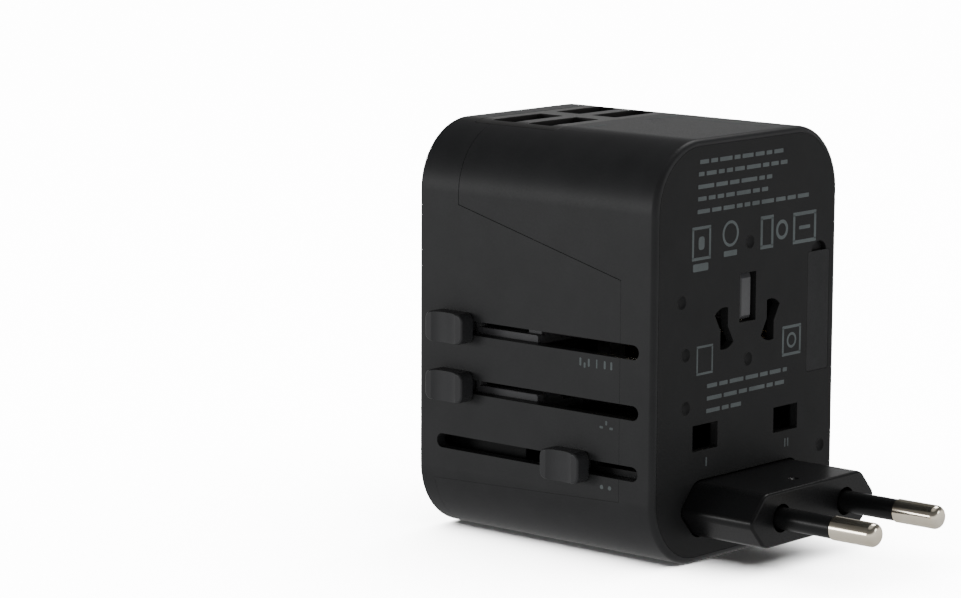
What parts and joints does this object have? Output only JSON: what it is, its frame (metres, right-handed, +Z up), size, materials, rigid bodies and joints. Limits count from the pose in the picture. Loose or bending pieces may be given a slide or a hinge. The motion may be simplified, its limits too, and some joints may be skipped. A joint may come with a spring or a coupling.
{
  "type": "universal travel adapter",
  "caption": "Block-shaped travel plug adapter with sliding plug pins, a multi-standard socket face, side sliders, a release button and USB charging ports on top.",
  "frame": {"origin": "centre of the housing's bottom face, on the surface it stands on", "axes": "+Z up towards the USB ports, -Y out of the pin face and +Y out of the socket face, -X the side with the sliders and +X the side with the release button"},
  "size_m": [0.0538, 0.0855, 0.071],
  "materials": {
    "black_plastic": "fine satin grain, black",
    "grey_plastic": "matte charcoal",
    "gloss_plastic": "polished black",
    "door_plastic": "matte dark grey",
    "carrier_grey": "satin grey",
    "port_plastic": "matte black",
    "nickel": "nickel plate, slightly warm",
    "brass": "plain sheet",
    "steel": "bright",
    "ceramic": null,
    "board_green": "glass-fibre board with green solder mask",
    "dark_ferrite": "ferrite core and wound tape",
    "can_blue": "aluminium can in a dark blue sleeve"
  },
  "bodies": {
    "housing": {"socket_shell": "black_plastic", "pin_shell": "black_plastic", "socket_plate": "grey_plastic", "pin_plate": "grey_plastic", "usb_bezel": "grey_plastic", "chassis": "grey_plastic", "usb_board": "board_green", "board_screw_left": "steel", "board_screw_right": "steel", "usb_shell_1": "nickel", "usb_shell_2": "nickel", "usb_shell_3": "nickel", "usb_shell_4": "nickel", "usb_tongue_1": "port_plastic", "usb_tongue_2": "port_plastic", "usb_tongue_3": "port_plastic", "usb_tongue_4": "port_plastic", "transformer": "dark_ferrite", "capacitor_1": "can_blue", "capacitor_2": "can_blue", "live_contact": "brass", "neutral_contact": "brass", "live_blade_contact": "brass", "neutral_blade_contact": "brass", "live_rail": "brass", "neutral_rail": "brass", "fuse_contact_low": "brass", "fuse_contact_high": "brass", "button_spring": "steel", "shutter_spring": "steel"},
    "us_plug": {"us_carrier": "carrier_grey", "us_knob": "gloss_plastic"},
    "us_left": {"us_blade_left": "nickel"},
    "us_right": {"us_blade_right": "nickel"},
    "uk_plug": {"uk_carrier": "carrier_grey", "uk_knob": "gloss_plastic", "uk_pin_live": "nickel", "uk_pin_neutral": "nickel", "uk_pin_sleeve_live": "black_plastic", "uk_pin_sleeve_neutral": "black_plastic"},
    "eu_plug": {"eu_block": "black_plastic", "eu_knob": "gloss_plastic"},
    "eu_pins": {"eu_pin_carrier": "black_plastic", "eu_pin_left": "nickel", "eu_pin_right": "nickel", "eu_pin_sleeve_left": "black_plastic", "eu_pin_sleeve_right": "black_plastic"},
    "release": {"release_button": "black_plastic", "latch_bar": "carrier_grey"},
    "fuse_drawer": {"fuse_door": "door_plastic", "fuse_tube": "ceramic", "fuse_cap_low": "steel", "fuse_cap_high": "steel"},
    "shutter": {"socket_shutter": "carrier_grey"}
  },
  "joints": [
    {"name": "us_slide", "type": "slide", "parent": "housing", "child": "us_plug", "axis": [0, -1, 0], "range_m": [0, 0.023]},
    {"name": "us_blade_left_turn", "type": "hinge", "parent": "us_plug", "child": "us_left", "pos_m": [-0.00635, 0, 0.0388], "axis": [0, -1, 0], "range_deg": [0, 30]},
    {"name": "us_blade_right_turn", "type": "hinge", "parent": "us_plug", "child": "us_right", "pos_m": [0.00635, 0, 0.0388], "axis": [0, 1, 0], "range_deg": [0, 30]},
    {"name": "uk_slide", "type": "slide", "parent": "housing", "child": "uk_plug", "axis": [0, -1, 0], "range_m": [0, 0.023]},
    {"name": "eu_slide", "type": "slide", "parent": "housing", "child": "eu_plug", "axis": [0, 1, 0], "range_m": [0, 0.02575]},
    {"name": "eu_pin_telescope", "type": "slide", "parent": "eu_plug", "child": "eu_pins", "axis": [0, 1, 0], "range_m": [0, 0.0093]},
    {"name": "button_press", "type": "slide", "parent": "housing", "child": "release", "axis": [-1, 0, 0], "range_m": [0, 0.0015], "stiffness_N_per_m": 400, "springref_m": -0.002, "deforming": ["button_spring"]},
    {"name": "fuse_drawer_slide", "type": "slide", "parent": "housing", "child": "fuse_drawer", "axis": [0, -1, 0], "range_m": [0, 0.009]},
    {"name": "shutter_lift", "type": "slide", "parent": "housing", "child": "shutter", "axis": [0, 0, 1], "range_m": [0, 0.0069], "stiffness_N_per_m": 60, "springref_m": -0.004, "deforming": ["shutter_spring"]}
  ],
  "couplings": [
    {"joint": "us_blade_right_turn", "follows": "us_blade_left_turn", "ratio": 1},
    {"joint": "eu_pin_telescope", "follows": "eu_slide", "ratio": 0.361}
  ]
}
